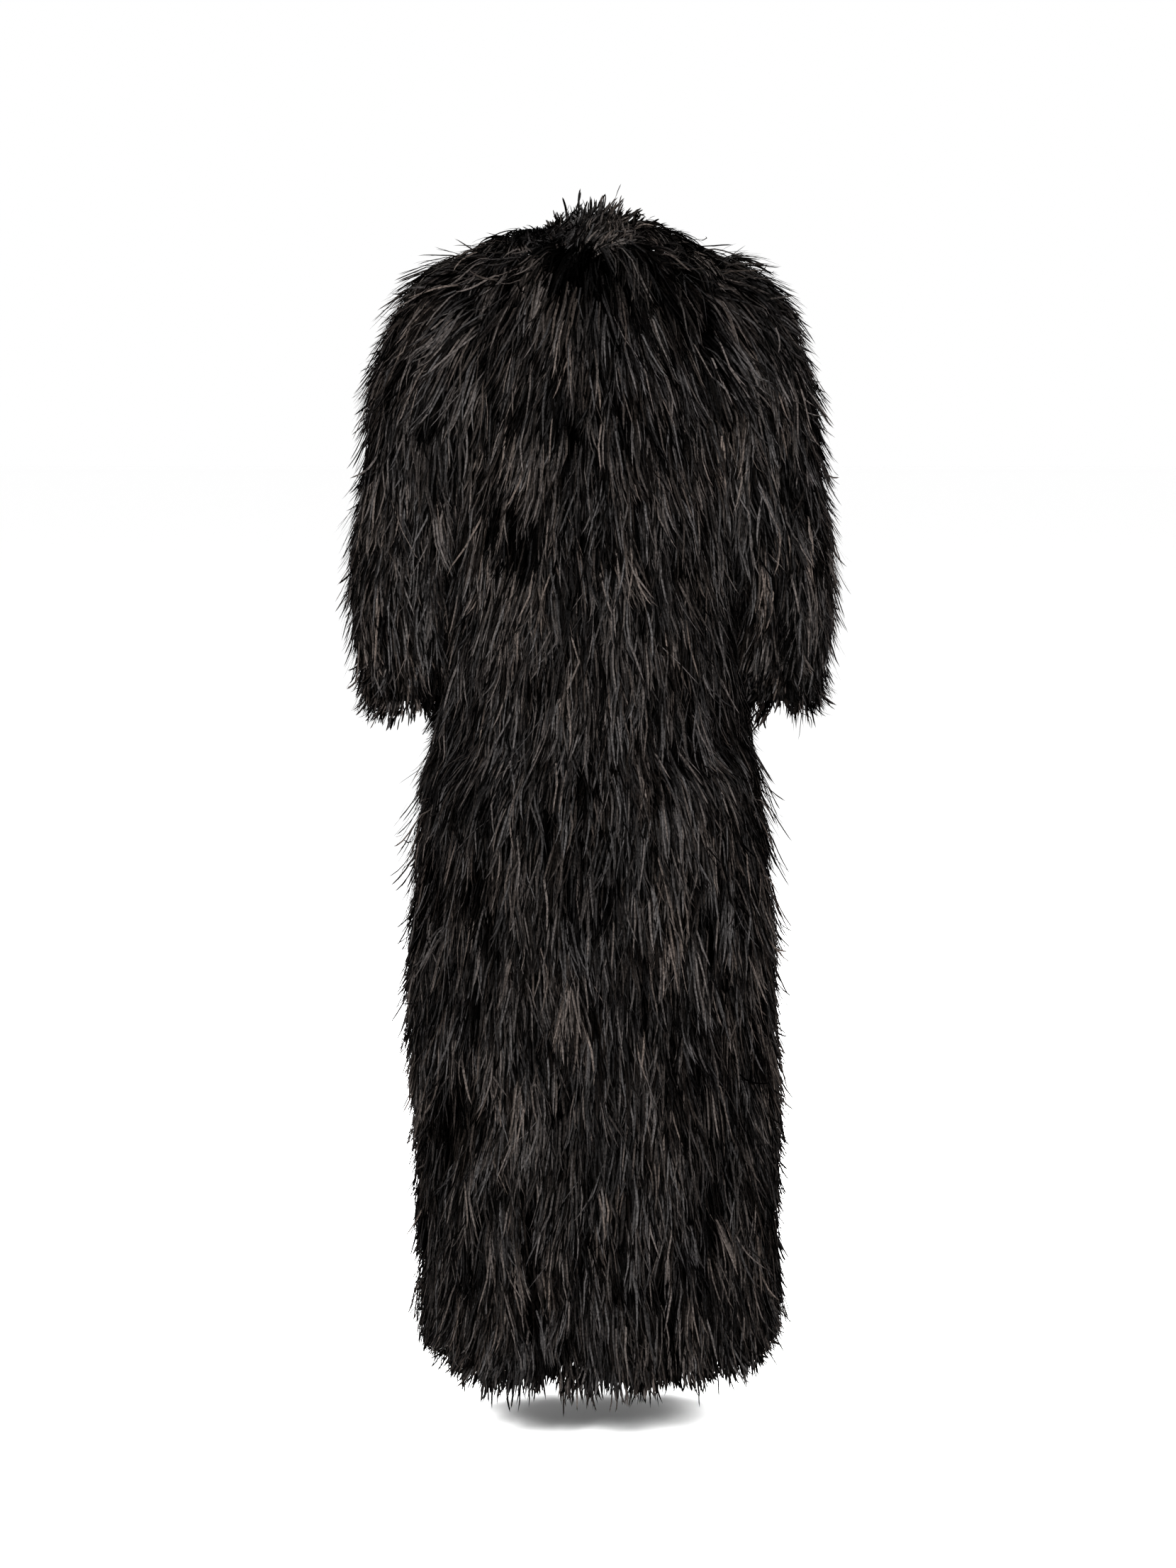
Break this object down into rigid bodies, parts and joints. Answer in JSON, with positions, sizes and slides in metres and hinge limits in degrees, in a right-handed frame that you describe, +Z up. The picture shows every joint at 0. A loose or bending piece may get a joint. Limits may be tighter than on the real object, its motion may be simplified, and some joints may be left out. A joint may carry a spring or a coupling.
{
  "type": "full-length feather coat",
  "caption": "Full-length long-sleeved coat covered all over with long hanging feather strands, in its worn form and hollow.",
  "frame": {"origin": "on the body's axis at the height of the nape, between the shoulders that carry the coat", "axes": "+Z up, the front faces -Y, the wearer's left side is towards +X"},
  "size_m": [0.6496, 0.401, 1.6329],
  "materials": {
    "feathered_cloth": "matt",
    "feather_fringe": "matt"
  },
  "bodies": {
    "root": {"back_yoke": "feathered_cloth", "back_waist": "feathered_cloth", "back_hip": "feathered_cloth", "back_skirt": "feathered_cloth", "front_left_yoke": "feathered_cloth", "front_left_waist": "feathered_cloth", "front_left_hip": "feathered_cloth", "front_left_skirt": "feathered_cloth", "front_right_yoke": "feathered_cloth", "front_right_waist": "feathered_cloth", "front_right_hip": "feathered_cloth", "front_right_skirt": "feathered_cloth", "sleeve_left_back": "feathered_cloth", "sleeve_left_front": "feathered_cloth", "sleeve_right_back": "feathered_cloth", "sleeve_right_front": "feathered_cloth", "collar_fringe": "feather_fringe", "hem_fringe_back": "feather_fringe", "hem_fringe_left": "feather_fringe", "hem_fringe_right": "feather_fringe", "cuff_fringe_left": "feather_fringe", "cuff_fringe_right": "feather_fringe"}
  },
  "joints": []
}
